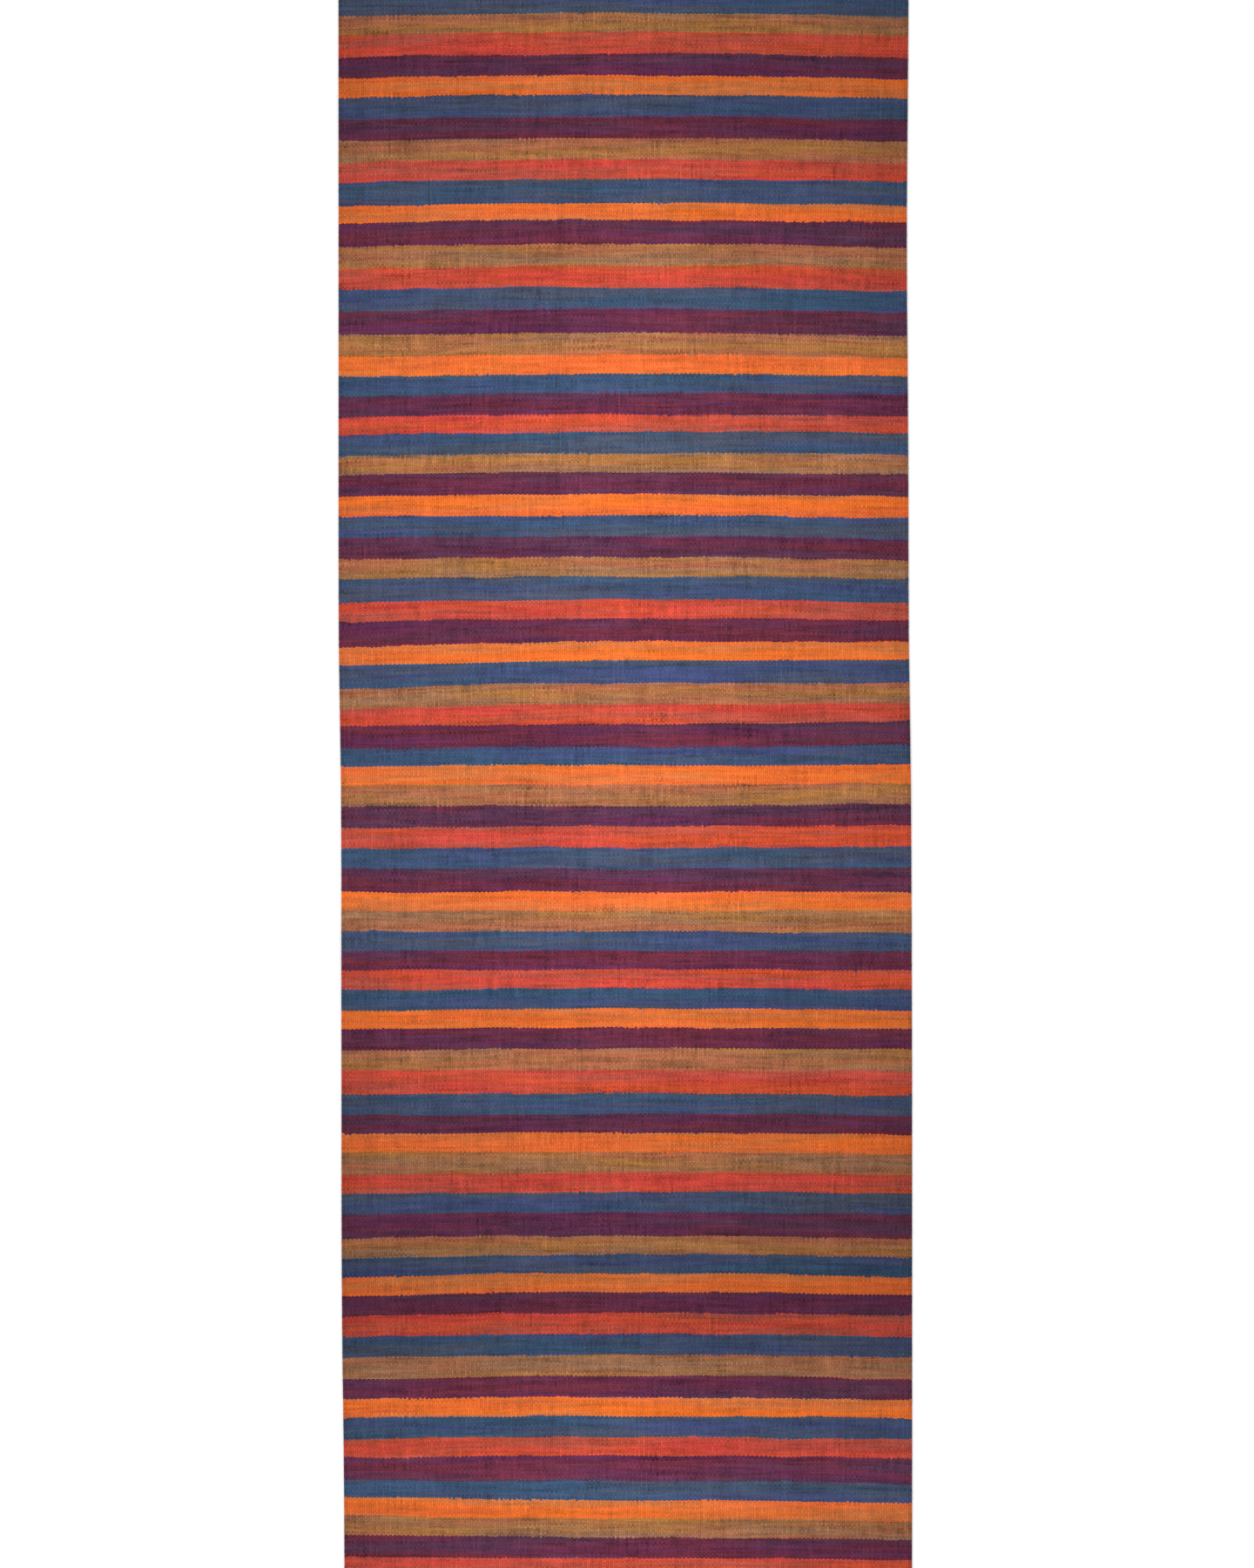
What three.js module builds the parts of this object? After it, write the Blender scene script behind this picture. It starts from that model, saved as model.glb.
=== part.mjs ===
import * as THREE from 'three';

// A striped flatweave runner, lying flat on its underside.
// Millimetres. X runs across the weave, Y along the warp, and the far end is at +Y.

// The cloth.
const LENGTH = 2500;
const WIDTH = 800;
const CLOTH_THICK = 3;

// The edge warps are bundled, so each selvedge is a slightly fuller cord.
const SELVEDGE_WIDE = 5;
const SELVEDGE_EXTRA = 0.6;

// Each end is turned under once and pressed, and the cloth slopes down behind the turn.
const HEM_DEEP = 22;
const HEM_THICK = 5.8;
const HEM_SLOPE = 9;

// Share of the thickness that is left upright at the very rim, where the cloth turns.
const RIM_SHARE = 0.3;

// The sides wander. left and right say how far each one lies towards +X of its straight line.
const SIDES = [
  { along: -1250, left: 6.0, right: 2.2 },
  { along: -1100, left: 5.8, right: 2.4 },
  { along: -950, left: 5.0, right: 2.5 },
  { along: -750, left: 2.4, right: 2.5 },
  { along: -350, left: 1.6, right: 2.3 },
  { along: 0, left: 1.0, right: 0.8 },
  { along: 200, left: -2.0, right: -2.0 },
  { along: 500, left: -2.4, right: -3.0 },
  { along: 760, left: -2.4, right: -5.0 },
  { along: 1100, left: -2.5, right: -2.6 },
  { along: 1250, left: -2.5, right: -2.6 },
];

// The ends follow their last weft. left and right say how far each corner hangs towards -Y.
const NEAR_END = { left: -2.5, right: 0 };
const FAR_END = { left: 5, right: 6 };

// The skin has a line of points at each of these distances from a side or an end.
const SIDE_STEPS = [0, 0.4, 1.3, 2.9, 5, 7];
const END_STEPS = [0, 0.4, 1.3, 2.9, 20, 23, 26, 29, 32];

// Between those lines, the plain cloth is divided evenly.
const BODY_COLUMNS = 6;
const BODY_ROWS = 24;

// Distances of all lines from one edge to the opposite one.
function lines(total, steps, spans) {
  const start = steps.at(-1);
  const stride = (total - 2 * start) / spans;
  const body = Array.from({ length: spans - 1 }, (_, i) => start + stride * (i + 1));
  return [...steps, ...body, ...steps.toReversed().map((step) => total - step)];
}

const sideLine = new THREE.CubicInterpolant(
  SIDES.map((station) => station.along),
  SIDES.flatMap((station) => [station.left, station.right]),
  2,
);

// Where a point of the flat cloth lies in plan. across runs from 0 to WIDTH, along from 0 to LENGTH.
function plan(across, along) {
  const y = along - LENGTH / 2;
  const [left, right] = sideLine.evaluate(y);
  const x = THREE.MathUtils.mapLinear(across, 0, WIDTH, left - WIDTH / 2, right + WIDTH / 2);
  const sideways = (2 * across) / WIDTH - 1;
  const corner = sideways < 0 ? 'left' : 'right';
  const hang = THREE.MathUtils.lerp(NEAR_END[corner], FAR_END[corner], along / LENGTH);
  return { x, y: y - hang * sideways ** 2 };
}

// Underside and top of the cloth at these distances from the nearest side and the nearest end.
function section(side, end) {
  const { lerp, smoothstep } = THREE.MathUtils;
  const flat = lerp(HEM_THICK, CLOTH_THICK, smoothstep(end, HEM_DEEP, HEM_DEEP + HEM_SLOPE));
  const cord = 1 - smoothstep(side, SELVEDGE_WIDE / 2, SELVEDGE_WIDE * 1.5);
  const thick = flat + SELVEDGE_EXTRA * cord;
  const inset = Math.min(side / (thick / 2), end / (thick / 2), 1);
  const share = Math.max(Math.sqrt(1 - (1 - inset) ** 2), RIM_SHARE);
  return { low: (thick * (1 - share)) / 2, high: (thick * (1 + share)) / 2 };
}

// A box with a line of points for each row and column, whose points are moved onto the cloth.
function runnerGeometry() {
  const columns = lines(WIDTH, SIDE_STEPS, BODY_COLUMNS);
  const rows = lines(LENGTH, END_STEPS, BODY_ROWS);
  const wide = columns.length - 1;
  const long = rows.length - 1;
  const geometry = new THREE.BoxGeometry(wide, long, 1, wide, long, 1);
  const points = geometry.attributes.position;
  for (let i = 0; i < points.count; i += 1) {
    const across = columns[Math.round(points.getX(i) + wide / 2)];
    const along = rows[Math.round(points.getY(i) + long / 2)];
    const { x, y } = plan(across, along);
    const { low, high } = section(Math.min(across, WIDTH - across), Math.min(along, LENGTH - along));
    points.setXYZ(i, x, y, points.getZ(i) > 0 ? high : low);
  }
  geometry.computeVertexNormals();
  return geometry;
}

// The origin is under the middle of the runner, on the floor.
function onFloor(geometry) {
  geometry.center();
  return geometry.translate(0, 0, -geometry.boundingBox.min.z);
}

// The mean of its five dyes: blue, tan, red, purple and orange.
const wool = new THREE.MeshStandardMaterial({
  color: 0x87504b,
  roughness: 0.95,
  metalness: 0,
});

const kilim = new THREE.Mesh(onFloor(runnerGeometry()), wool);
kilim.name = 'kilim';

const runner = new THREE.Group();
runner.add(kilim);

export default runner;
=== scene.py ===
# %% [markdown]
# # A striped kilim runner
#
# A kilim is a rug without pile. Coloured wool wefts run from side to side and are beaten
# down so hard that they hide the warps, which show only as fine ribs along the length.
# The CAD part says how long, wide and thick the runner is, and how its sides wander.
# Blender turns that slab into cloth: a sheet with ribs on both faces, the turns of its
# wefts at the sides, its stitched hems, and wool in five dyes.

import math

import bpy
import numpy as np
from mathutils import Color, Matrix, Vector


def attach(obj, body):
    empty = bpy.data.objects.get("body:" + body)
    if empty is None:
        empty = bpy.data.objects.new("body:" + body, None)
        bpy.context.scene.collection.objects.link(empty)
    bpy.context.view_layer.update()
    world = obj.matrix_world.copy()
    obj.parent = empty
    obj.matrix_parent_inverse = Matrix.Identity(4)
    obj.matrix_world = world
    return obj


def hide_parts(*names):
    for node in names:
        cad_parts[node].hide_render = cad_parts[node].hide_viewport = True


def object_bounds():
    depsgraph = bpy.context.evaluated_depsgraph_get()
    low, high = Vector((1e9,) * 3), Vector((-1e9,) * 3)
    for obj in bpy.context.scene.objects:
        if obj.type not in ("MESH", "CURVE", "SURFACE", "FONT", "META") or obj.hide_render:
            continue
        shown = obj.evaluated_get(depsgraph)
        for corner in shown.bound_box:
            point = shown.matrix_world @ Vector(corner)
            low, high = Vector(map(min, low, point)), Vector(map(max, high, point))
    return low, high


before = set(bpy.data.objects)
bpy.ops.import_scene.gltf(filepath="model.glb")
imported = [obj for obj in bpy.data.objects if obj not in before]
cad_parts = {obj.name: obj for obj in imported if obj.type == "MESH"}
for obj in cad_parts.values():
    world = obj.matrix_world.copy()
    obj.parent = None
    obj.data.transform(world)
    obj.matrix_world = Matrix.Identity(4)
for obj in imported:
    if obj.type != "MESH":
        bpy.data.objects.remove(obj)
cad_low, cad_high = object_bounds()
MM = 0.001
print("CAD box in metres:", tuple(cad_low), tuple(cad_high))

# %% [markdown]
# ## The camera
#
# The photograph looks straight down on the runner from far away, so its sides look
# parallel, and it cuts off both ends. A wide lens close by would make the far stripes look
# narrower than the near ones. A long lens high above the floor keeps them even, as here.
# The sensor's size is that of the longer side of the picture, so the lens follows from the
# length of cloth that the picture shows.

# %% Camera
CAMERA_HEIGHT = 6.0
CAMERA_ASIDE = 2.45 * MM
SENSOR = 36.0
PICTURE_LONG = 2.1985
CLOTH_TOP = 3 * MM

camera_above_cloth = CAMERA_HEIGHT - CLOTH_TOP
bpy.ops.object.camera_add(location=(CAMERA_ASIDE, 0, CAMERA_HEIGHT), rotation=(0, 0, 0))
camera = bpy.context.active_object
camera.data.sensor_width = SENSOR
camera.data.lens = SENSOR * camera_above_cloth / PICTURE_LONG
bpy.context.scene.camera = camera
print("lens in millimetres:", round(camera.data.lens, 2))

# %% [markdown]
# ## Light and floor
#
# The runner was photographed flat in even light, on white. A bright white sky lights a
# pale floor from everywhere, and one broad soft lamp from the upper left gives the ribs
# and hems a lit side and a faint shadow. A sun lamp is used, because it lights the whole
# floor alike, while a lamp nearby would leave its far parts grey. The plain Standard view
# keeps the dyes as mixed, where a filmic one would wash out the orange.

# %% Sky and view
SKY_STRENGTH = 1.0

scene = bpy.context.scene
scene.view_settings.view_transform = "Standard"
scene.world = bpy.data.worlds.new("studio")
scene.world.use_nodes = True
sky = scene.world.node_tree.nodes["Background"]
sky.inputs["Color"].default_value = (1, 1, 1, 1)
sky.inputs["Strength"].default_value = SKY_STRENGTH
print("view:", scene.view_settings.view_transform, "with a sky of", SKY_STRENGTH)

# %% Lamp
LAMP_FROM = Vector((-3.2, 3.4, 5.2))
LAMP_SPREAD = math.radians(35)
LAMP_STRENGTH = 0.9

towards_runner = (-LAMP_FROM).to_track_quat("-Z", "Y").to_euler()
bpy.ops.object.light_add(type="SUN", location=LAMP_FROM, rotation=towards_runner)
lamp = bpy.context.active_object
lamp.data.angle = LAMP_SPREAD
lamp.data.energy = LAMP_STRENGTH
lamp_tilt = math.degrees(LAMP_FROM.angle(Vector((0, 0, 1))))
print("the lamp is", round(lamp_tilt), "degrees off the vertical")

# %% Floor
FLOOR_SIZE = 40
FLOOR_GAP = 0.2 * MM
FLOOR_GREY = 0.90
FLOOR_ROUGHNESS = 0.9

bpy.ops.mesh.primitive_plane_add(size=FLOOR_SIZE, location=(0, 0, -FLOOR_GAP))
floor = bpy.context.active_object
floor.name = "floor"
paint = bpy.data.materials.new("floor paint")
paint.use_nodes = True
floor_shader = paint.node_tree.nodes["Principled BSDF"]
floor_shader.inputs["Base Color"].default_value = (FLOOR_GREY, FLOOR_GREY, FLOOR_GREY, 1)
floor_shader.inputs["Roughness"].default_value = FLOOR_ROUGHNESS
floor.data.materials.append(paint)
print("floor:", FLOOR_SIZE, "metres square,", round(FLOOR_GAP / MM, 1), "mm under the cloth")

# %% [markdown]
# ## The stripes
#
# The weaver changes the colour of the weft every three centimetres or so. There is no
# repeat in the order, so the chart names each stripe in turn: a letter for the dye, which
# is blue, tan, red, purple or orange, and the height in millimetres. It starts at the raw
# edge under the far hem and ends at the raw edge under the near one. The photograph shows
# all but the first five stripes and the last five, which are made up in the same manner.

# %% Stripe chart
STRIPES = """
    T47 P28 O28 R27 P29 B32
    T28 R29 P31 O27 B31 P29 T30 R27 B33 O25 P34
    T31 R31 B29 P35 T29 O26 B29 P29 R25 B28 T29 P28 O30
    B30 P30 T28 B32 R26 P31 O28 B31 T31 R27 P32 B26
    O28 T29 P29 R28 B30 P32 O27 T29 B27 P27 R27 B28 O27
    P30 T30 R30 B30 P28 O25 T30 R25 B30 P32 T27 B27 O27
    P29 R29 B30 T29 P29 O28 B28 R28 P34 B27 O26 T26 P29
    R28 B27 T28 P28 O27 R48
"""

stripes = [(entry[0], int(entry[1:]) * MM) for entry in STRIPES.split()]
chart_length = sum(height for letter, height in stripes)
print(len(stripes), "stripes,", round(chart_length, 4), "metres in all")

# %% [markdown]
# ## How the cloth lies
#
# The runner is one length of cloth. It lies flat on the floor, climbs behind each hem,
# turns round the rim and comes back underneath, where its raw edge is hidden. Its middle
# surface is drawn first, as a row of points seen from the side. A cloth simulation could
# drop it there, but a pressed hem is easier to draw than to simulate.

# %% Middle line of a hem
CLOTH_THICK = 2.8 * MM
HEM_DEEP = 22 * MM
HEM_SLOPE = 9 * MM
FOLD_RADIUS = 1.5 * MM
RAW_EDGE_BACK = 1 * MM
SLOPE_SPANS, TOP_SPANS, FOLD_SPANS, UNDER_SPANS = 4, 2, 5, 2

low_layer = CLOTH_THICK / 2
high_layer = low_layer + 2 * FOLD_RADIUS
fold_centre = low_layer + FOLD_RADIUS


def soft_step(share):
    """Goes from 0 to 1 with a soft start and a soft end."""
    share = np.clip(share, 0, 1)
    return share * share * (3 - 2 * share)


def hem_line():
    """From the foot of the slope to the raw edge: distances behind the rim, and heights."""
    climb = np.linspace(0, 1, SLOPE_SPANS + 1)
    angle = np.linspace(0, math.pi, FOLD_SPANS + 1)[1:]
    behind_rim = [
        HEM_DEEP + HEM_SLOPE * (1 - climb),
        np.linspace(HEM_DEEP, fold_centre, TOP_SPANS + 1)[1:],
        fold_centre - FOLD_RADIUS * np.sin(angle),
        np.linspace(fold_centre, HEM_DEEP - RAW_EDGE_BACK, UNDER_SPANS + 1)[1:],
    ]
    height = [
        low_layer + (high_layer - low_layer) * soft_step(climb),
        np.full(TOP_SPANS, high_layer),
        fold_centre + FOLD_RADIUS * np.cos(angle),
        np.full(UNDER_SPANS, low_layer),
    ]
    return np.concatenate(behind_rim), np.concatenate(height)


behind_rim, hem_height = hem_line()
print("points in the line of a hem:", len(behind_rim))

# %% [markdown]
# Both hems and the flat cloth between them make one line from raw edge to raw edge. Each
# point of it becomes a row of the sheet, and the distance walked along the line says
# which stripe is there. The tilt is the direction in which the line runs. It is nought in
# the middle of the cloth and turns right over at each hem.

# %% Rows of the sheet
BODY_SPANS = 36

half_length = cad_high.y
body_end = half_length - HEM_DEEP - HEM_SLOPE
body = np.linspace(-body_end, body_end, BODY_SPANS + 1)[1:-1]
row_y = np.concatenate([(behind_rim - half_length)[::-1], body, half_length - behind_rim])
row_z = np.concatenate([hem_height[::-1], np.full(len(body), low_layer), hem_height])

span_tilt = np.unwrap(np.arctan2(np.diff(row_z), np.diff(row_y)))
span_tilt -= span_tilt[len(span_tilt) // 2]
row_tilt = np.interp(np.arange(len(row_y)), np.arange(len(span_tilt)) + 0.5, span_tilt)
row_along = np.concatenate([[0], np.cumsum(np.hypot(np.diff(row_y), np.diff(row_z)))])
row_along -= row_along[-1] / 2
cloth_length = 2 * row_along[-1]
print("cloth from raw edge to raw edge:", round(cloth_length, 4), "metres")

# %% [markdown]
# ## Sides and bowed wefts
#
# No handwoven side is straight. The CAD solid has that wander already, so it is read from
# its outermost points instead of written down twice. The wefts aren't straight either:
# where the weaver beat one side harder, they hang lower there, and the stripes bow. The
# table says how far they hang at each side below the middle, in millimetres.

# %% Sides of the solid
RIM_ZONE = 10 * MM
ROW_GAP = 0.2 * MM


def side_line(points, sign):
    """How a side of the solid runs: places along, and how far out it lies there."""
    rim = points[sign * points[:, 0] > half_width - RIM_ZONE]
    rim = rim[np.argsort(rim[:, 1])]
    rows = np.split(rim, np.flatnonzero(np.diff(rim[:, 1]) > ROW_GAP) + 1)
    along = np.array([row[:, 1].mean() for row in rows])
    out = np.array([sign * (sign * row[:, 0]).max() for row in rows])
    return along, out


half_width = cad_high.x
solid_points = np.array([point.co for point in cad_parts["kilim"].data.vertices])
left_side = side_line(solid_points, -1)
right_side = side_line(solid_points, 1)
row_left = np.interp(row_y, *left_side)
row_right = np.interp(row_y, *right_side)
cloth_width = float(np.mean(row_right - row_left))
print("cloth width:", round(cloth_width, 4), "metres, from", len(left_side[0]), "rows")

# %% Hang of the wefts
WEFT_HANG = np.array([
    # along, left, right
    (-1250, -2.5, 0),
    (-1087, -2.5, 1),
    (-1020, -6.5, 6.5),
    (-953, 2.5, 3.5),
    (-859, 4, 4.5),
    (-782, 4, 3.5),
    (-660, 6.5, 6),
    (-572, 2.5, 3),
    (-464, 2, 3.5),
    (-380, 0.5, 1),
    (-281, 5, 3),
    (-227, -1, 2),
    (-183, -2, 0),
    (-49, 3, -1),
    (49, 1, -3.5),
    (171, 10.5, -2),
    (256, 5, 5.5),
    (370, 2, 3.5),
    (415, 4, 5),
    (513, 5.5, 0),
    (611, 3.5, 5.5),
    (757, 5.5, 5.5),
    (848, 5.5, 4),
    (928, 5.5, 6),
    (1250, 5, 6),
]) * MM

hang_along, hang_left, hang_right = WEFT_HANG.T
row_hang_left = np.interp(row_y, hang_along, hang_left)
row_hang_right = np.interp(row_y, hang_along, hang_right)
print("hang at the sides, in mm:", WEFT_HANG[:, 1:].min() / MM, "to", WEFT_HANG[:, 1:].max() / MM)

# %% [markdown]
# ## Laying the cloth
#
# Everything that is cloth or sits on cloth is placed by one function. It takes a point of
# the flat cloth, as metres across and along and a height over the middle surface, and
# says where that point lies on the floor. So the sheet, the turns at its sides and the
# stitches in its hems can't come apart.
#
# Loose cloth is never quite flat. A few swells, a millimetre high and as wide as a hand
# or an arm, are listed. At each side the cord of bundled warps is thicker than
# the cloth, so it lifts the middle surface a little, and more where it lies on itself.

# %% Swells
SWELLS = np.array([
    # x, y, half its width, half its length, height
    (-330, 930, 150, 130, 1.0),
    (250, 610, 210, 95, 0.8),
    (-120, 260, 240, 120, 0.7),
    (350, 30, 120, 170, 1.1),
    (-360, -250, 110, 150, 0.9),
    (60, -560, 330, 90, 1.2),
    (-90, -760, 360, 80, 1.0),
    (290, -960, 160, 120, 0.9),
]) * MM


def swell(x, y):
    """How far the cloth stands off the floor at a place on it."""
    height = np.zeros(np.broadcast(x, y).shape)
    for centre_x, centre_y, half_wide, half_long, rise in SWELLS:
        off = np.hypot((x - centre_x) / half_wide, (y - centre_y) / half_long)
        height += rise * soft_step(1 - off)
    return height


print("the tallest of", len(SWELLS), "swells stands", SWELLS[:, 4].max() / MM, "mm high")

# %% Lay
SELVEDGE_WIDE = 5 * MM
LIFT_LOW = 0.27 * MM
LIFT_HIGH = 0.60 * MM
WANDER = 0.5 * MM
WANDER_WAVES = (
    # waves across the cloth, waves to a metre along it, start
    (2.3, 1.1, 0.4),
    (4.1, -2.6, 1.9),
    (7.4, 3.9, 5.2),
)

climbed = (row_z - low_layer) / (high_layer - low_layer)
row_lift = LIFT_LOW + (LIFT_HIGH - LIFT_LOW) * climbed


def wander(share, along):
    """How far a rib strays sideways. share is 0 at the left side and 1 at the right."""
    waves = [
        np.sin(2 * math.pi * (waves_across * share + waves_along * along) + start)
        for waves_across, waves_along, start in WANDER_WAVES
    ]
    return WANDER * sum(waves) / len(waves) * np.sin(math.pi * share)


def lay(across, along, above):
    """Lays points of the flat cloth on the floor and returns them as rows of x, y and z."""

    def at(row_values):
        return np.interp(along, row_along, row_values)

    share = across / cloth_width
    sideways = 2 * share - 1
    hang = np.where(sideways < 0, at(row_hang_left), at(row_hang_right)) * sideways**2
    inset = np.minimum(across, cloth_width - across)
    cord = 1 - soft_step((inset - SELVEDGE_WIDE / 2) / SELVEDGE_WIDE)
    x = at(row_left) + (at(row_right) - at(row_left)) * share + wander(share, along)
    y = at(row_y) - hang - np.sin(at(row_tilt)) * above
    z = at(row_z) + np.cos(at(row_tilt)) * above + cord * at(row_lift) + swell(x, y)
    return np.stack([x, y, z], axis=-1)


print("the middle of the cloth lies at", lay(cloth_width / 2, 0, 0).round(5))

# %% [markdown]
# ## The ribs
#
# Each warp thread is a rib, with a valley on both sides where the weft dives to the back.
# The ribs are about three millimetres apart, so there are 255 between the selvedges, some
# a little wider or fuller than others. Which ones is left to random numbers, and their
# seed is fixed so that every run gives the same cloth. Three points draw one rib across:
# its valley and its two shoulders. The selvedge is rounder and fuller, and thins out to
# its rim.

# %% Columns of the sheet
RIBS = 255
RIB_DEEP = 0.42 * MM
SHOULDERS = (0.3, 0.7)
RIB_UNEVEN = 0.10
RIB_LOWER = 0.08 * MM
SEED = 11
SELVEDGE_SECTION = np.array([
    # inset from the side, half the thickness
    (0.4, 0.30),
    (0.7, 0.80),
    (1.6, 1.20),
    (3.0, 1.30),
    (4.3, 1.15),
]) * MM

rng = np.random.default_rng(SEED)
rib_width = 1 + RIB_UNEVEN * rng.uniform(-1, 1, RIBS)
rib_lower = RIB_LOWER * rng.uniform(0, 1, RIBS)
plain_width = cloth_width - 2 * SELVEDGE_WIDE
valley = np.concatenate([[0], np.cumsum(rib_width)]) / rib_width.sum()
valley = SELVEDGE_WIDE + plain_width * valley
half_thick = CLOTH_THICK / 2

inset, half_selvedge = SELVEDGE_SECTION.T
columns = [*zip(inset, inset / SELVEDGE_WIDE - 1, half_selvedge)]
for rib in range(RIBS):
    columns.append((valley[rib], rib, half_thick - RIB_DEEP))
    for part in SHOULDERS:
        across = valley[rib] + part * (valley[rib + 1] - valley[rib])
        columns.append((across, rib + part, half_thick - rib_lower[rib]))
columns.append((valley[RIBS], RIBS, half_thick - RIB_DEEP))
far_inset = cloth_width - inset[::-1]
columns += zip(far_inset, RIBS + 1 - inset[::-1] / SELVEDGE_WIDE, half_selvedge[::-1])
column_across, column_rib, column_half = np.array(columns).T
print(len(columns), "columns and", len(row_along), "rows")

# %% [markdown]
# ## The sheet
#
# The sheet starts as a flat grid with one line for every column and row. Its points are
# moved to where the cloth's middle surface lies. A Solidify modifier then gives it a top
# and an underside, and a vertex group tells that modifier how thick each column is, so
# that the ribs stand up on both faces. The UV map "weave" keeps the weaver's own
# coordinates: U counts ribs, and V is the distance along the cloth in metres. A second UV
# map, "yarn", runs with the fibres: U is the distance along a weft and V across it.

# %% Grid
bpy.ops.object.select_all(action="DESELECT")
column_spans = len(columns) - 1
row_spans = len(row_along) - 1
bpy.ops.mesh.primitive_grid_add(x_subdivisions=column_spans, y_subdivisions=row_spans, size=1)
cloth = bpy.context.active_object
cloth.name = "cloth"

# The grid is one metre square, so its points run from -0.5 to 0.5 both ways.
grid = np.empty(len(cloth.data.vertices) * 3)
cloth.data.vertices.foreach_get("co", grid)
grid = grid.reshape(-1, 3)
column = np.rint((grid[:, 0] + 0.5) * column_spans).astype(int)
row = np.rint((grid[:, 1] + 0.5) * row_spans).astype(int)
laid = lay(column_across[column], row_along[row], 0)
cloth.data.vertices.foreach_set("co", laid.ravel())
cloth.data.update()
print("points in the sheet:", len(laid))

# %% Maps of the weave and of the yarn
def write_map(mesh, name, first, second):
    """Writes a UV map from two values for each point."""
    corner_point = np.empty(len(mesh.loops), int)
    mesh.loops.foreach_get("vertex_index", corner_point)
    layer = mesh.uv_layers.new(name=name)
    layer.data.foreach_set("uv", np.stack([first, second], axis=-1)[corner_point].ravel())


cloth.data.uv_layers.remove(cloth.data.uv_layers[0])
write_map(cloth.data, "weave", column_rib[column], row_along[row])
write_map(cloth.data, "yarn", column_across[column], row_along[row])
print("UV maps of the sheet:", ", ".join(layer.name for layer in cloth.data.uv_layers))

# %% Thickness
SMOOTH_BELOW = math.radians(65)

thickness = cloth.vertex_groups.new(name="thickness")
for number, half in enumerate(column_half):
    members = np.flatnonzero(column == number).tolist()
    thickness.add(members, half / half_thick, "REPLACE")

solidify = cloth.modifiers.new("thickness", "SOLIDIFY")
solidify.thickness = CLOTH_THICK
solidify.offset = 0
solidify.use_even_offset = True
solidify.vertex_group = thickness.name
bpy.ops.object.modifier_apply(modifier=solidify.name)
cloth.vertex_groups.clear()
bpy.ops.object.shade_smooth_by_angle(angle=SMOOTH_BELOW)
print("cloth faces:", len(cloth.data.polygons))

# %% [markdown]
# ## The turns at the sides
#
# At a side each weft goes round the bundled edge warps and comes back, so the selvedge is
# a row of small yarn loops. A bevelled curve could draw one loop too, but a mesh keeps it
# to few faces. A five-sided ring is spun half round the cord, and both of its ends are
# drawn inwards until they dive into the cloth. Copies of it are then laid along the whole
# side by the same function as the cloth, so they follow it over the hem and round the fold.

# %% One turn
WEFT_PITCH = 1.8 * MM
TURN_CENTRE = 2.5 * MM
TURN_RADIUS = 2.1 * MM
TURN_FLATTEN = 0.63
YARN_RADIUS = 0.40 * MM
YARN_WIDE = 2.3
YARN_SIDES = 5
TURN_STEPS = 5

bpy.ops.object.select_all(action="DESELECT")
bpy.ops.mesh.primitive_circle_add(
    vertices=YARN_SIDES,
    radius=YARN_RADIUS,
    location=(TURN_CENTRE, 0, TURN_RADIUS),
    rotation=(0, math.radians(90), 0),
)
turn = bpy.context.active_object
bpy.ops.object.transform_apply(location=True, rotation=True, scale=True)
bpy.ops.object.mode_set(mode="EDIT")
bpy.ops.mesh.select_all(action="SELECT")
bpy.ops.transform.resize(value=(1, YARN_WIDE, 1), center_override=(0, 0, 0))
bpy.ops.mesh.spin(
    steps=TURN_STEPS, angle=math.pi, center=(TURN_CENTRE, 0, 0), axis=(0, 1, 0)
)
bpy.ops.mesh.select_all(action="SELECT")
bpy.ops.transform.resize(value=(1, 1, TURN_FLATTEN), center_override=(0, 0, 0))
print("a turn goes half round the cord in", TURN_STEPS, "steps")


# %% Legs of the turn
def select_where(object_in_edit, test):
    """Selects the points whose place passes the test, and nothing else."""
    bpy.ops.object.mode_set(mode="OBJECT")
    mesh = object_in_edit.data
    for kind in (mesh.vertices, mesh.edges, mesh.polygons):
        kind.foreach_set("select", [False] * len(kind))
    for point in mesh.vertices:
        point.select = test(point.co)
    bpy.ops.object.mode_set(mode="EDIT")
    bpy.ops.mesh.select_mode(type="VERT")


LEG_STEPS = (
    # reach inwards, share of the height that is kept, share of the width that is kept
    (1.5 * MM, 0.90, 0.95),
    (1.3 * MM, 0.55, 0.75),
)
TOUCH = 0.01 * MM
select_where(turn, lambda place: place.x > TURN_CENTRE - TOUCH)
for reach, keep_height, keep_width in LEG_STEPS:
    bpy.ops.mesh.extrude_region_move(TRANSFORM_OT_translate={"value": (reach, 0, 0)})
    bpy.ops.transform.resize(value=(1, keep_width, keep_height), center_override=(0, 0, 0))
bpy.ops.mesh.select_all(action="SELECT")
bpy.ops.mesh.fill_holes(sides=YARN_SIDES)
bpy.ops.mesh.select_all(action="SELECT")
bpy.ops.mesh.normals_make_consistent(inside=False)
bpy.ops.object.mode_set(mode="OBJECT")
turn_points = np.array([point.co for point in turn.data.vertices])
print("a turn has", len(turn_points), "points, from", turn_points.min(0), "to", turn_points.max(0))

# %% Copies
def copies(pattern, places, name):
    """One mesh with a copy of the pattern's faces for each set of laid points."""
    count = len(pattern.data.vertices)
    faces = [list(face.vertices) for face in pattern.data.polygons]
    mesh = bpy.data.meshes.new(name)
    every_face = [
        [corner + count * number for corner in face]
        for number in range(len(places))
        for face in faces
    ]
    mesh.from_pydata(np.concatenate(places).tolist(), [], every_face)
    mesh.polygons.foreach_set("use_smooth", [True] * len(mesh.polygons))
    piece = bpy.data.objects.new(name, mesh)
    bpy.context.scene.collection.objects.link(piece)
    return piece


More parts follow.
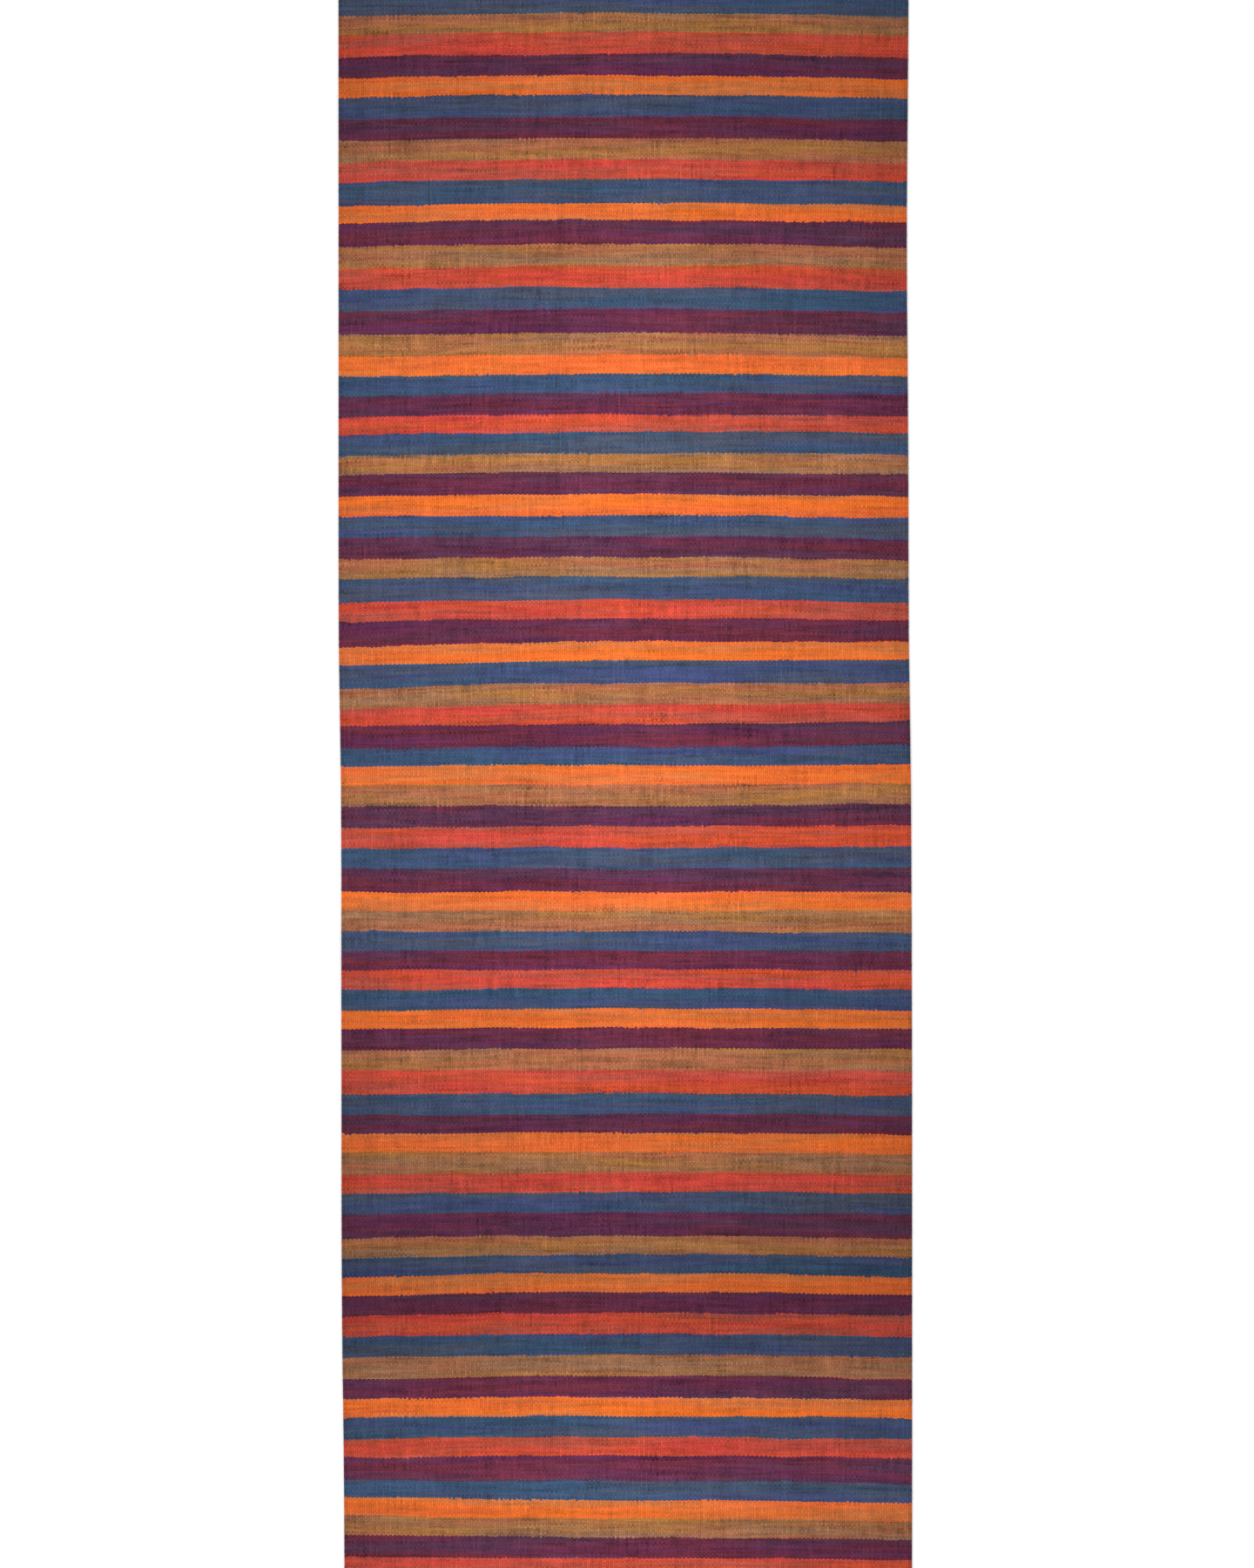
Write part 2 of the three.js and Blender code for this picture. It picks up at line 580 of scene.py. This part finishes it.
# %% Turns of both sides
TURN_SLANT = 0.25 * WEFT_PITCH
TURN_JITTER = 0.12 * MM
turn_count = int(cloth_length / WEFT_PITCH) - 1
turn_along = (np.arange(turn_count) - (turn_count - 1) / 2) * WEFT_PITCH


def turns(name, right):
    """The row of weft turns on one side."""
    places = []
    inset, slide, above = turn_points.T
    for along in turn_along:
        shift_in, shift_along = rng.uniform(-TURN_JITTER, TURN_JITTER, 2)
        across = inset + shift_in
        if right:
            across = cloth_width - across
        slant = TURN_SLANT * above / turn_points[:, 2].max()
        places.append(lay(across, along + slide + shift_along + slant, above))
    piece = copies(turn, places, name)
    if right:
        piece.data.flip_normals()
    # In ribs, a side lies half a rib outside the first rib or the last one.
    point_rib = np.full(len(piece.data.vertices), -0.5 + (RIBS + 1) * right)
    point_along = np.repeat(turn_along, len(turn_points))
    round_cord = np.arctan2(above, TURN_CENTRE - inset) * TURN_RADIUS
    write_map(piece.data, "weave", point_rib, point_along)
    point_across = point_along + np.tile(slide, turn_count)
    write_map(piece.data, "yarn", np.tile(round_cord, turn_count), point_across)
    return piece


turns_left = turns("turns_left", right=False)
turns_right = turns("turns_right", right=True)
bpy.data.objects.remove(turn)
print(turn_count, "turns a side,", len(turns_left.data.polygons), "faces a side")

# %% [markdown]
# ## The stitches in the hems
#
# Each hem is held by a row of running stitches in dark yarn. From above, a running stitch
# is a short bar whose two ends dive into the cloth. The yarn could be one long tube that
# weaves through the hem, but most of it would be hidden. So each stitch starts as a ball
# of size 1, which is resized to a stitch's length, width and height, and its ends are then
# pushed down in two steps.

# %% One stitch
STITCH_LONG = 6 * MM
STITCH_WIDE = 1.1 * MM
STITCH_HIGH = 1.0 * MM
STITCH_DIVE = 0.30 * MM
DIVE_FROM = (0.30, 0.46)

bpy.ops.object.select_all(action="DESELECT")
bpy.ops.mesh.primitive_uv_sphere_add(
    segments=8, ring_count=6, radius=0.5, rotation=(0, math.radians(90), 0)
)
stitch = bpy.context.active_object
bpy.ops.object.transform_apply(location=True, rotation=True, scale=True)
bpy.ops.object.mode_set(mode="EDIT")
bpy.ops.mesh.select_all(action="SELECT")
bpy.ops.transform.resize(
    value=(STITCH_LONG, STITCH_WIDE, STITCH_HIGH), center_override=(0, 0, 0)
)
for share in DIVE_FROM:
    select_where(stitch, lambda place: abs(place.x) > share * STITCH_LONG)
    bpy.ops.transform.translate(value=(0, 0, -STITCH_DIVE))
bpy.ops.object.mode_set(mode="OBJECT")
stitch_points = np.array([point.co for point in stitch.data.vertices])
print("a stitch has", len(stitch_points), "points")

# %% Rows of stitches
STITCH_LINE = 18 * MM
STITCH_GAP = 3 * MM
STITCH_SINK = 0.05 * MM
STITCH_STRAY = 0.5 * MM

under_hem = HEM_DEEP - RAW_EDGE_BACK - fold_centre
stitch_along = cloth_length / 2 - under_hem - math.pi * FOLD_RADIUS - (STITCH_LINE - fold_centre)
stitch_pitch = STITCH_LONG + STITCH_GAP
stitch_count = int((cloth_width - 2 * SELVEDGE_WIDE) / stitch_pitch)
stitch_across = cloth_width / 2 + (np.arange(stitch_count) - (stitch_count - 1) / 2) * stitch_pitch


def stitches(name, end):
    """The row of stitches across one hem. end is 1 for the far one and -1 for the near one."""
    places = []
    for across in stitch_across:
        stray_across, stray_start, stray_stop = rng.uniform(-STITCH_STRAY, STITCH_STRAY, 3)
        x, y, z = stitch_points.T
        share = x / STITCH_LONG + 0.5
        stray = stray_start + (stray_stop - stray_start) * share
        above = z + half_thick - STITCH_SINK
        places.append(lay(across + stray_across + x, end * stitch_along + stray + y, above))
    return copies(stitch, places, name)


stitches_far = stitches("stitches_far", 1)
stitches_near = stitches("stitches_near", -1)
bpy.data.objects.remove(stitch)
print(stitch_count, "stitches in each hem")

# %% [markdown]
# ## Arithmetic for materials
#
# A material is a net of nodes. It could be drawn by hand in the shader editor, but written
# out node by node it is hard to read. So a small class stands for a value on its way from
# one node to the next, and adding or multiplying two such values adds the Math node that
# does it. Every other node comes from one method, which takes its kind, its settings and
# what goes into its sockets.

# %% Wire
class Wire:
    """A value, colour or vector that runs from one node of a material to the next."""

    def __init__(self, tree, socket):
        self.tree = tree
        self.socket = socket

    @classmethod
    def node(cls, tree, kind, settings=None, inputs=None, output=0):
        """Adds a node, changes its settings, fills its sockets and returns an output."""
        node = tree.nodes.new("ShaderNode" + kind)
        for name, value in (settings or {}).items():
            if name == "stops":
                fill_ramp(node.color_ramp, value)
            elif name == "blend":
                node.color_ramp.interpolation = value
            else:
                setattr(node, name, value)
        for name, value in (inputs or {}).items():
            if isinstance(value, cls):
                tree.links.new(value.socket, node.inputs[name])
            else:
                node.inputs[name].default_value = value
        return cls(tree, node.outputs[output]) if node.outputs else None

    def math(self, operation, *others):
        """Adds a Math node that works on this value and the others."""
        values = dict(enumerate((self, *others)))
        return Wire.node(self.tree, "Math", {"operation": operation}, values)

    def __add__(self, other):
        return self.math("ADD", other)

    def __sub__(self, other):
        return self.math("SUBTRACT", other)

    def __rsub__(self, other):
        return (self * -1) + other

    def __mul__(self, other):
        return self.math("MULTIPLY", other)

    def __truediv__(self, other):
        return self.math("DIVIDE", other)

    def __gt__(self, other):
        return self.math("GREATER_THAN", other)

    __radd__ = __add__
    __rmul__ = __mul__


def across_and_along(vector):
    """The two parts of a place on a UV map, as two values."""
    parts = {"Vector": vector}
    return [Wire.node(vector.tree, "SeparateXYZ", inputs=parts, output=axis) for axis in (0, 1)]


def fill_ramp(ramp, stops):
    """Sets a ramp's stops, each a position from 0 to 1 and a colour."""
    while len(ramp.elements) > 1:
        ramp.elements.remove(ramp.elements[-1])
    ramp.elements[0].position, ramp.elements[0].color = stops[0]
    for position, colour in stops[1:]:
        ramp.elements.new(position).color = colour


# %% [markdown]
# ## Where on the weave
#
# The pattern follows the cloth, so it reads the UV map "weave" and not the place in the
# room. The whole part of U is the number of the rib, and its fraction is the place across
# that rib. In a plain weave, a weft that passes over one rib goes under the next. What
# shows of it on a rib is called a float, and the floats on odd ribs lie half a float
# further along than those on even ribs.

# %% Places on the weave
wool = bpy.data.materials.new("wool weave")
wool.use_nodes = True
tree = wool.node_tree
tree.nodes.clear()

rib_pitch = plain_width / RIBS
ribs, along = across_and_along(Wire.node(tree, "UVMap", {"uv_map": "weave"}))
rib = ribs.math("FLOOR")
place_on_rib = ribs.math("FRACT")
across = ribs * rib_pitch
odd = (rib * 0.5).math("FRACT") * 2
on_ribs = (ribs > 0) * (1 - (ribs > RIBS))
along_yarn, across_yarn = across_and_along(Wire.node(tree, "UVMap", {"uv_map": "yarn"}))


def patches(places, sizes, seed, detail=1.0):
    """Uneven values around a half, in patches with these two sizes."""
    first, second = [place / size + seed for place, size in zip(places, sizes)]
    spot = Wire.node(tree, "CombineXYZ", inputs={"X": first, "Y": second})
    inputs = {"Vector": spot, "Scale": 1.0, "Detail": detail}
    return Wire.node(tree, "TexNoise", {"noise_dimensions": "2D"}, inputs)


print("a rib is", round(rib_pitch / MM, 2), "mm wide")

# %% Wefts
SLOW_WANDER = 5.0 * MM
SLOW_SIZE = (160 * MM, 50 * MM)
TICKS = 5.0 * MM
TICK_SIZE = (1.5, 40 * MM)
CLUMP_SIZE = (60 * MM, 30 * MM)
CLUMP_CONTRAST = 5.0

slow_wander = (patches((across, along), SLOW_SIZE, seed=14.9) - 0.5) * SLOW_WANDER
clumps = (patches((across, along), CLUMP_SIZE, seed=5.1) - 0.5) * CLUMP_CONTRAST
clumps = clumps.math("MAXIMUM", 0).math("MINIMUM", 1)
ticks = (patches((rib, along), TICK_SIZE, seed=3.7) - 0.5) * clumps * TICKS
weft_place = (along + slow_wander + ticks) / WEFT_PITCH + odd * 0.5
weft = weft_place.math("FLOOR")
place_on_weft = weft_place.math("FRACT")
yarn = weft + odd * 0.5
print("floats on a rib, from raw edge to raw edge:", round(cloth_length / WEFT_PITCH))

# %% [markdown]
# ## Which dye
#
# A colour ramp with hard steps can hold 32 stops, and the chart has 87 stripes. So three
# ramps hold a third of the chart each, not as colours but as the number of the dye. Short
# ramps then turn that number into wool, one for each of three dye baths. No two baths come
# out the same, so the yarn of a stripe is warmer or cooler than that of the next, and it
# also changes along a weft.
#
# The edge of a stripe isn't a ruled line. It steps by half a float from rib to rib, single
# wefts stray over it, and it wanders slowly by a millimetre or two.

# %% Dyes
DYES = {
    # letter: warm bath, cool bath and odd bath, as screen colours
    "B": ((71, 77, 94), (54, 78, 105), (63, 72, 112)),
    "T": ((160, 107, 57), (146, 104, 76), (162, 96, 67)),
    "R": ((193, 74, 44), (172, 78, 64), (194, 66, 55)),
    "P": ((91, 40, 73), (83, 49, 72), (103, 42, 59)),
    "O": ((225, 107, 38), (199, 111, 60), (221, 101, 48)),
}
dye_letters = list(DYES)


def dye_number(letter):
    return (dye_letters.index(letter) + 0.5) / len(DYES)


def grey(value):
    return (value, value, value, 1)


def steps(place, stops):
    """A ramp with hard steps, read at a place from 0 to 1."""
    return Wire.node(tree, "ValToRGB", {"blend": "CONSTANT", "stops": stops}, {"Fac": place})


print("dyes:", ", ".join(dye_letters), "with", sum(map(len, DYES.values())), "baths in all")

# %% Number of the dye
RAMPS = 3
STRAY_WEFTS = 2.0 * MM
STRAY_SIZE = (50 * MM, 1.25)

stray_wefts = (patches((across, yarn), STRAY_SIZE, seed=8.3) - 0.5) * STRAY_WEFTS
edge = (weft - odd * 0.5 + 0.5) * WEFT_PITCH + stray_wefts

chart = []
far_edge = cloth_length / 2
for letter, height in stripes:
    chart.append((letter, far_edge - height, far_edge))
    far_edge -= height
chart.reverse()

third = math.ceil(len(chart) / RAMPS)
number = None
for start in range(0, len(chart), third):
    part = chart[start : start + third]
    near, far = part[0][1], part[-1][2]
    stops = [
        (max(0, (low - near) / (far - near)), grey(dye_number(letter)))
        for letter, low, high in part
    ]
    place_in_part = (edge - near) / (far - near)
    part_number = steps(place_in_part, stops)
    if number is None:
        number = part_number
    else:
        number = Wire.node(tree, "Mix", inputs={0: edge > near, 2: number, 3: part_number})
print(third, "stripes to a ramp")

# %% Wool from three baths
def screen(red, green, blue):
    """A colour given as a screen shows it, 0 to 255, in the values that Blender mixes."""
    return (*Color((red / 255, green / 255, blue / 255)).from_srgb_to_scene_linear(), 1)


DYE_BAND = (700 * MM, 12)
DYE_PATCH = (150 * MM, 5)
BATH_SHARES = {
    # usual share, change from band to band, change along a weft, seeds of both
    "cool": (0.5, 4.0, 2.6, 21.3, 25.7),
    "odd": (0.33, 2.8, 2.2, 71.9, 76.3),
}


def by_dye(values):
    """Picks one of five colours for the dye that is there."""
    return steps(number, [(place / len(DYES), value) for place, value in enumerate(values)])


def bath(which):
    """The wool of one bath: 0 is the warm one, 1 the cool one and 2 the odd one."""
    return by_dye([screen(*baths[which]) for baths in DYES.values()])


def bath_share(name):
    """Share of a bath in the wool, uneven from band to band and along each weft."""
    usual, of_band, of_patch, band_seed, patch_seed = BATH_SHARES[name]
    band = patches((across, yarn), DYE_BAND, band_seed) - 0.5
    patch = patches((across, yarn), DYE_PATCH, patch_seed, detail=2.0) - 0.5
    return band * of_band + patch * of_patch + usual


def blend(share, first, second):
    return Wire.node(tree, "Mix", {"data_type": "RGBA"}, {0: share, 6: first, 7: second}, output=2)


warm_and_cool = blend(bath_share("cool"), bath(0), bath(1))
dyed = blend(bath_share("odd"), warm_and_cool, bath(2))
print("nodes in the wool so far:", len(tree.nodes))

# %% [markdown]
# ## Light and dark in the wool, and painted shade
#
# Handspun wool takes dye unevenly, so a weft is lighter for a hand's width and darker for
# the next, more in the tan and purple than in the orange. The ribs differ a little in how
# much light they catch, one by one, and also in groups, where the warps were strung
# tighter. Over the whole runner, whole bands are lighter or darker, and painted shade
# makes the sides a little darker than the middle. Painted shade also darkens the valleys
# between ribs, the chinks between wefts and the turns at the sides.
# Each of these is a factor close to 1, and the colour is multiplied by all of them.

# %% Tone of the runner, with painted shade across it
SCREEN_GAMMA = 2.2
BRIGHTEST = 1.2
TONE_ALONG = (
    # along in millimetres, lightness on the screen, where 1 is the dye as mixed
    (-1087, 1.00),
    (-1026, 0.98),
    (-989, 1.04),
    (-955, 1.07),
    (-930, 0.98),
    (-904, 0.98),
    (-855, 1.00),
    (-818, 0.94),
    (-782, 0.89),
    (-733, 0.88),
    (-672, 0.87),
    (-623, 0.915),
    (-550, 0.94),
    (-476, 0.94),
    (-391, 1.00),
    (-305, 0.985),
    (-256, 1.03),
    (-122, 1.05),
    (611, 1.05),
    (733, 1.01),
    (867, 0.98),
    (928, 0.92),
    (1099, 0.92),
)
# Painted light and shade across the width: lighter in the middle, darker at both sides.
PAINTED_SHADE_ACROSS = (
    # share of the width, lightness on the screen
    (0.00, 0.96),
    (0.15, 1.01),
    (0.50, 1.06),
    (0.85, 0.97),
    (1.00, 0.91),
)


def tone(place, table):
    """A factor read from a table of lightness, whose places run from 0 to 1."""
    stops = [(where, grey(light**SCREEN_GAMMA / BRIGHTEST)) for where, light in table]
    ramp = Wire.node(tree, "ValToRGB", {"blend": "EASE", "stops": stops}, {"Fac": place})
    return ramp * BRIGHTEST


along_place = along / cloth_length + 0.5
along_table = [(where * MM / cloth_length + 0.5, light) for where, light in TONE_ALONG]
# The bands along the runner, times the painted shade across it.
bands_and_painted_side_shade = tone(along_place, along_table) * tone(ribs / RIBS, PAINTED_SHADE_ACROSS)
print("places in both tables of tone:", len(TONE_ALONG) + len(PAINTED_SHADE_ACROSS))

# %% Painted shade in valleys, chinks and turns
# Painted shade, as factors on the colour: darker in the valleys between ribs, in the chinks
# between wefts, and on the turns at the sides where the selvedge rounds down.
VALLEY_PAINTED_SHADE = 0.30
CHINK_PAINTED_SHADE = 0.30
TURN_PAINTED_SHADE = 0.12

rounded = (place_on_rib * math.pi).math("SINE")
valley_shade_mask = (1 - rounded) * (1 - rounded)
float_side = place_on_weft * 2 - 1
float_round = 1 - float_side * float_side
chink_shade_mask = (1 - float_round) * (1 - float_round)
painted_shade = (1 - valley_shade_mask * VALLEY_PAINTED_SHADE) * (1 - chink_shade_mask * on_ribs * CHINK_PAINTED_SHADE)
painted_shade = painted_shade * (1 - (1 - on_ribs) * TURN_PAINTED_SHADE)
print("light left in the deepest hollow:", round((1 - VALLEY_PAINTED_SHADE) * (1 - CHINK_PAINTED_SHADE), 2))

# %% Uneven wool
STREAKS = (
    # width of a patch, floats in its height, seed, detail, strength
    (250 * MM, 7, 12.6, 2.0, 0.52),
    (95 * MM, 1.7, 31.7, 2.0, 1.0),
    (40 * MM, 0.6, 43.1, 1.0, 0.55),
)
HEATHER = 0.40
HEATHER_SIZE = (3.0 * MM, 0.4 * MM)
YARN_TWIST = 0.45
FEWEST_MARKS = 0.5
CLUMP_MARKS = 0.7
RIB_MARKS = 0.68
RIB_MARK_SIZE = (1.5, 35 * MM)
RIB_GROUPS = (
    # ribs in a patch, its length, seed, detail, strength
    (4, 35 * MM, 24.8, 1.0, 0.22),
    (9, 420 * MM, 39.5, 2.0, 0.27),
)
FLOAT_MARKS = 0.25

# The fibres of spun yarn run aslant, so they are read along a slanted line.
across_twist = across_yarn + along_yarn * YARN_TWIST
heather = patches((along_yarn, across_twist), HEATHER_SIZE, seed=57.9, detail=2.0)
rib_marks = patches((rib, along), RIB_MARK_SIZE, seed=66.6) - 0.5
float_place = Wire.node(tree, "CombineXYZ", inputs={"X": rib, "Y": yarn})
floats = Wire.node(tree, "TexWhiteNoise", {"noise_dimensions": "2D"}, {"Vector": float_place})
unevenness = (heather - 0.5) * HEATHER + (floats - 0.5) * FLOAT_MARKS
unevenness = unevenness + rib_marks * (clumps * CLUMP_MARKS + FEWEST_MARKS) * RIB_MARKS
for wide, floats_high, seed, detail, strength in STREAKS:
    streak = patches((across, yarn), (wide, floats_high), seed, detail) - 0.5
    unevenness = unevenness + streak * strength
for ribs_wide, long, seed, detail, strength in RIB_GROUPS:
    group = patches((rib, along), (ribs_wide, long), seed, detail) - 0.5
    unevenness = unevenness + group * strength
print("sorts of streak:", len(STREAKS), "along the wefts and", len(RIB_GROUPS), "along the ribs")

# %% Shade
# How uneven the wool of each dye is.
UNEVEN = {"B": 0.92, "T": 1.05, "R": 0.95, "P": 1.12, "O": 0.75}
MOST_UNEVEN = 1.2

uneven = by_dye([grey(UNEVEN[letter] / MOST_UNEVEN) for letter in dye_letters]) * MOST_UNEVEN
# The colour takes the uneven wool, the bands along the runner and all the painted shade.
shade = (1 + unevenness * uneven) * bands_and_painted_side_shade * painted_shade
wool_colour = Wire.node(
    tree, "VectorMath", {"operation": "SCALE"}, {"Vector": dyed, "Scale": shade}
)
print("nodes in the wool so far:", len(tree.nodes))

# %% [markdown]
# ## The touch of the wool
#
# The ribs are in the mesh. A mesh of every float would need millions of faces, so what is
# finer than a rib is bump: each float is small and rounded, and the fibres on it run with
# the yarn, a little aslant from its twist. Heights are real ones, in metres. Wool hardly
# shines, but its loose fibres catch light at a low angle, and that is what sheen is for.

# %% Relief and shader
FLOAT_HIGH = 0.14 * MM
HIGH_IN_VALLEY = 0.3
FIBRE_HIGH = 0.07 * MM
FIBRE_SIZE = (1.6 * MM, 0.25 * MM)
ROUGHNESS = 0.88
ROUGHNESS_CHANGE = 0.16
SHINE = 0.08
SHEEN = 0.04
SHEEN_ROUGHNESS = 0.5


def bump(height):
    """Relief of these heights in metres."""
    inputs = {"Strength": 1.0, "Distance": 1.0, "Height": height}
    return Wire.node(height.tree, "Bump", inputs=inputs)


fibres = patches((along_yarn, across_twist), FIBRE_SIZE, seed=88.8, detail=2.0)
float_share = rounded * (1 - HIGH_IN_VALLEY) + HIGH_IN_VALLEY
relief = bump(float_round * float_share * FLOAT_HIGH + fibres * FIBRE_HIGH)
wool_shader = Wire.node(
    tree,
    "BsdfPrincipled",
    inputs={
        "Base Color": wool_colour,
        "Roughness": (heather - 0.5) * ROUGHNESS_CHANGE + ROUGHNESS,
        "Normal": relief,
        "Specular IOR Level": SHINE,
        "Sheen Weight": SHEEN,
        "Sheen Roughness": SHEEN_ROUGHNESS,
    },
)
Wire.node(tree, "OutputMaterial", inputs={"Surface": wool_shader})
for piece in (cloth, turns_left, turns_right):
    piece.data.materials.append(wool)
print("nodes in the wool:", len(tree.nodes))

# %% [markdown]
# ## The sewing yarn
#
# The stitches are two-ply yarn in the dark purple of the runner. Two twisted tubes would
# show the plies too, but a stitch is only six millimetres long. So the twist is painted
# and embossed as slanting bands, light on the plies and dark between them. The bands read
# Object coordinates, because all stitches run the same way.

# %% Stitch material
PLY_PITCH = 1.1 * MM
PLY_SLANT = 0.8
PLY_HIGH = 0.12 * MM
LEAST_LIGHT = 0.5
PLY_LIGHT = 0.35
FUZZ_LIGHT = 0.5
FUZZ_SIZE = 0.67 * MM
STITCH_DYE = (74, 40, 56)
STITCH_ROUGHNESS = 0.75
STITCH_ROUGHNESS_CHANGE = 0.2
STITCH_SHINE = 0.2

sewing = bpy.data.materials.new("sewing yarn")
sewing.use_nodes = True
sewing_tree = sewing.node_tree
sewing_tree.nodes.clear()
place = Wire.node(sewing_tree, "TexCoord", output=3)
stitch_x = Wire.node(sewing_tree, "SeparateXYZ", inputs={"Vector": place}, output=0)
stitch_y = Wire.node(sewing_tree, "SeparateXYZ", inputs={"Vector": place}, output=1)
twist = ((stitch_x + stitch_y * PLY_SLANT) / PLY_PITCH).math("FRACT") * 2 - 1
ply = 1 - twist * twist
fuzz_inputs = {"Vector": place, "Scale": 1 / FUZZ_SIZE, "Detail": 2.0}
fuzz = Wire.node(sewing_tree, "TexNoise", inputs=fuzz_inputs)
stitch_shade = ply * PLY_LIGHT + fuzz * FUZZ_LIGHT + LEAST_LIGHT
stitch_colour = Wire.node(
    sewing_tree,
    "VectorMath",
    {"operation": "SCALE"},
    {"Vector": screen(*STITCH_DYE)[:3], "Scale": stitch_shade},
)
stitch_shader = Wire.node(
    sewing_tree,
    "BsdfPrincipled",
    inputs={
        "Base Color": stitch_colour,
        "Roughness": fuzz * STITCH_ROUGHNESS_CHANGE + STITCH_ROUGHNESS,
        "Normal": bump(ply * PLY_HIGH),
        "Specular IOR Level": STITCH_SHINE,
    },
)
Wire.node(sewing_tree, "OutputMaterial", inputs={"Surface": stitch_shader})
for piece in (stitches_far, stitches_near):
    piece.data.materials.append(sewing)
print("nodes in the sewing yarn:", len(sewing_tree.nodes))

# %% [markdown]
# ## Telling the frame
#
# The sheet stands for the CAD node, and everything moves with the one body. The sheet's
# flat size is what was woven: the width, and the length with the cloth that is turned
# under at both ends.

# %% Frame
on_the_cloth = [turns_left, turns_right, stitches_near, stitches_far]
for piece in (cloth, *on_the_cloth):
    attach(piece, "root")
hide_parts("kilim")
print("pieces:", ", ".join(piece.name for piece in (cloth, *on_the_cloth)))
